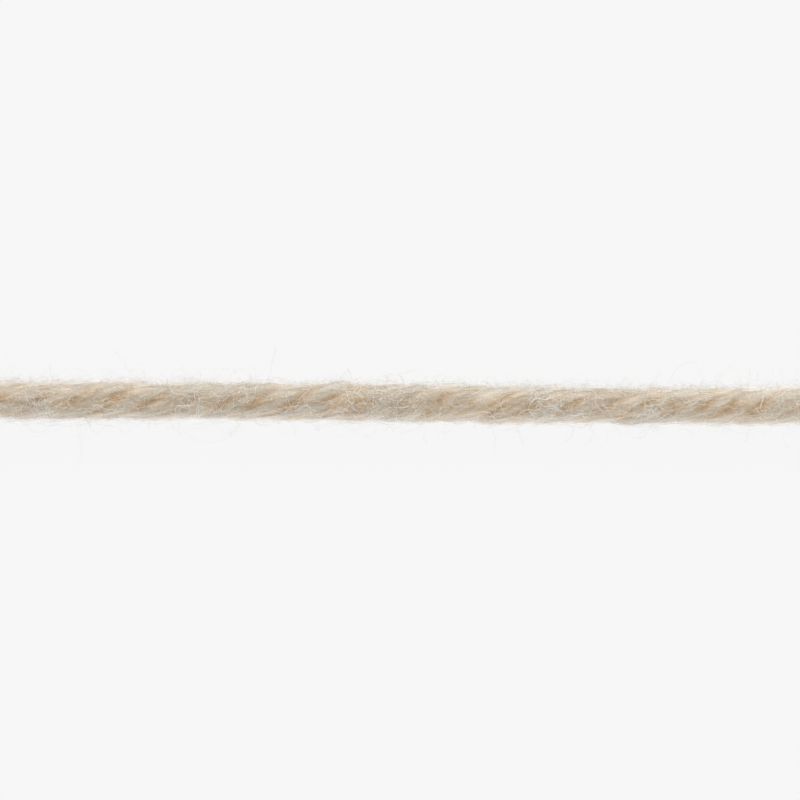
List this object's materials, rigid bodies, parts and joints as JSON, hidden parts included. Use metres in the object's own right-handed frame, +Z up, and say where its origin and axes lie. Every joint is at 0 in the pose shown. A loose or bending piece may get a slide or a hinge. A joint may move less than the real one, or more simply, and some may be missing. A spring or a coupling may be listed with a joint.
{
  "type": "plied wool knitting yarn, cut length",
  "caption": "Short straight length of cream plied wool knitting yarn, S-twisted, lying flat with both ends cut square.",
  "frame": {"origin": "bottom centre of the strand, on the surface that it lies on", "axes": "+X along the strand, +Y across it, +Z up from the surface"},
  "size_m": [0.062, 0.003, 0.0025],
  "materials": {
    "cream_wool": "matt undyed cream wool, softly fuzzy, tan in the grooves between the plies"
  },
  "bodies": {
    "root": {"yarn_strand": "cream_wool"}
  },
  "joints": []
}
